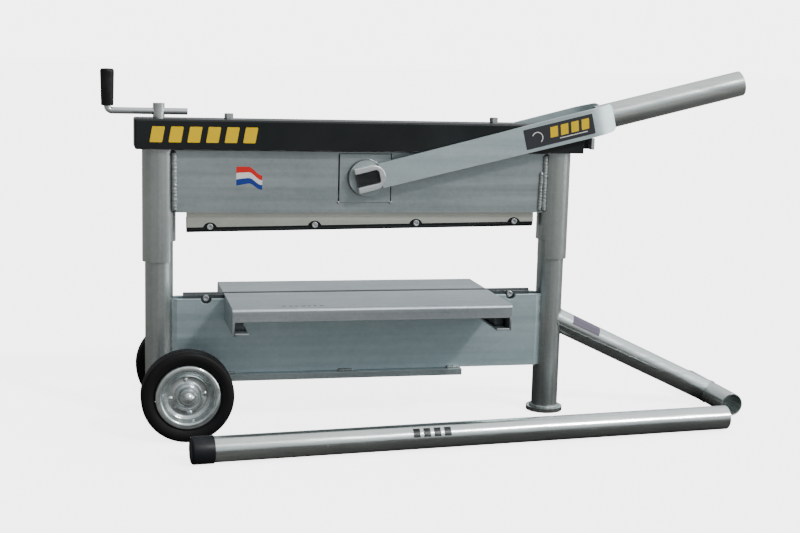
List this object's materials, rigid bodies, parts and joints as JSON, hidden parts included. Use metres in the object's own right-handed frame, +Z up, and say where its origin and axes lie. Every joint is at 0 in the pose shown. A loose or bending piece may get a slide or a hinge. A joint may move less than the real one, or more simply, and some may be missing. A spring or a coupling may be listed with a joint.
{
  "type": "paving block splitter",
  "caption": "Hand-operated paving block splitter: forked eccentric lever, upper blade on two telescopic posts, sprung tables, wheels and a foot.",
  "frame": {"origin": "centre of the round foot's underside, on the ground, under the post away from the wheels", "axes": "+X along the blades towards the stabiliser and the lever's end, +Y to the back, +Z up"},
  "size_m": [1.2361, 0.4475, 0.67],
  "materials": {
    "galvanised": "satin galvanised",
    "bright_steel": "bright zinc plated",
    "zinc_rim": "pressed, bright zinc plated",
    "dark_steel": "dark, oiled",
    "black_paint": "satin powder coat",
    "bronze": "machined",
    "tyre_rubber": "matte",
    "black_rubber": "satin",
    "black_plastic": "satin"
  },
  "bodies": {
    "base": {"left_post": "galvanised", "right_post": "galvanised", "foot_disc": "galvanised", "spindle_nuts": "bronze", "lower_front_plate": "galvanised", "lower_rear_plate": "galvanised", "lower_blade": "dark_steel", "lower_blade_bolts": "bright_steel", "base_bar": "galvanised", "strut": "galvanised", "cross_tube": "galvanised", "axle_tube": "galvanised", "axle_rod": "bright_steel", "axle_caps": "bright_steel", "support_arms": "dark_steel", "front_springs": "dark_steel", "rear_springs": "dark_steel"},
    "table_front": {"front_table": "galvanised"},
    "table_rear": {"rear_table": "galvanised"},
    "wheel_front": {"front_tyre": "tyre_rubber", "front_rim": "zinc_rim", "front_rivets": "zinc_rim", "front_hub": "zinc_rim"},
    "wheel_rear": {"rear_tyre": "tyre_rubber", "rear_rim": "zinc_rim", "rear_rivets": "zinc_rim", "rear_hub": "zinc_rim"},
    "head": {"left_sleeve": "galvanised", "right_sleeve": "galvanised", "upper_front_plate": "galvanised", "upper_rear_plate": "galvanised", "top_plate": "galvanised", "front_bearing": "galvanised", "rear_bearing": "galvanised", "spindle_bearings": "bronze", "chain_tray": "black_paint", "chain_cover": "black_paint", "cover_screws": "bright_steel", "lever_rest": "galvanised", "drive_chain": "dark_steel", "return_springs": "dark_steel"},
    "left_drive": {"left_spindle": "bright_steel", "left_sprocket": "dark_steel", "crank_boss": "bright_steel"},
    "right_drive": {"right_spindle": "bright_steel", "right_sprocket": "dark_steel"},
    "crank": {"crank_rod": "bright_steel"},
    "grip": {"crank_grip": "black_plastic"},
    "blade": {"blade_holder": "galvanised", "upper_blade": "dark_steel", "upper_blade_bolts": "bright_steel"},
    "lever": {"eccentric_shaft": "bright_steel", "drive_tongues": "dark_steel", "fork_jaws": "galvanised", "front_arm": "galvanised", "rear_arm": "galvanised", "socket_tube": "galvanised"},
    "extension": {"extension_tube": "galvanised", "extension_cap": "black_rubber"}
  },
  "joints": [
    {"name": "head_height", "type": "slide", "parent": "base", "child": "head", "axis": [0, 0, 1], "range_m": [-0.085, 0.045]},
    {"name": "left_spindle_turn", "type": "hinge", "parent": "head", "child": "left_drive", "pos_m": [-0.75, 0, 0.5], "axis": [0, 0, 1], "range_deg": [-3830, 2030]},
    {"name": "right_spindle_turn", "type": "hinge", "parent": "head", "child": "right_drive", "pos_m": [0, 0, 0.5], "axis": [0, 0, 1], "range_deg": [-3830, 2030]},
    {"name": "crank_slide", "type": "slide", "parent": "left_drive", "child": "crank", "axis": [1, 0, 0], "range_m": [-0.02, 0.055]},
    {"name": "grip_spin", "type": "hinge", "parent": "crank", "child": "grip", "pos_m": [-0.8398, 0, 0.61], "axis": [0, 0, 1], "continuous": true},
    {"name": "lever_swing", "type": "hinge", "parent": "head", "child": "lever", "pos_m": [-0.375, 0, 0.4585], "axis": [0, 1, 0], "range_deg": [-65, 0]},
    {"name": "blade_drop", "type": "slide", "parent": "head", "child": "blade", "axis": [0, 0, -1], "range_m": [-0.0098, 0.0002], "stiffness_N_per_m": 2500, "springref_m": -0.03, "deforming": ["return_springs"]},
    {"name": "front_table_press", "type": "slide", "parent": "base", "child": "table_front", "axis": [0, 0, 1], "range_m": [-0.0035, 0], "stiffness_N_per_m": 20000, "springref_m": 0.004, "deforming": ["front_springs"]},
    {"name": "rear_table_press", "type": "slide", "parent": "base", "child": "table_rear", "axis": [0, 0, 1], "range_m": [-0.0035, 0], "stiffness_N_per_m": 20000, "springref_m": 0.004, "deforming": ["rear_springs"]},
    {"name": "front_wheel_roll", "type": "hinge", "parent": "base", "child": "wheel_front", "pos_m": [-0.707, -0.125, 0.0815], "axis": [0, 1, 0], "continuous": true},
    {"name": "rear_wheel_roll", "type": "hinge", "parent": "base", "child": "wheel_rear", "pos_m": [-0.707, 0.125, 0.0815], "axis": [0, 1, 0], "continuous": true},
    {"name": "extension_lift", "type": "slide", "parent": "base", "child": "extension", "axis": [0, 0, 1], "range_m": [0, 0.3]}
  ],
  "couplings": [
    {"joint": "left_spindle_turn", "follows": "head_height", "rad_per_m": 785.4},
    {"joint": "right_spindle_turn", "follows": "head_height", "rad_per_m": 785.4},
    {"joint": "blade_drop", "follows": "lever_swing", "m_per_rad": 0.00852}
  ]
}
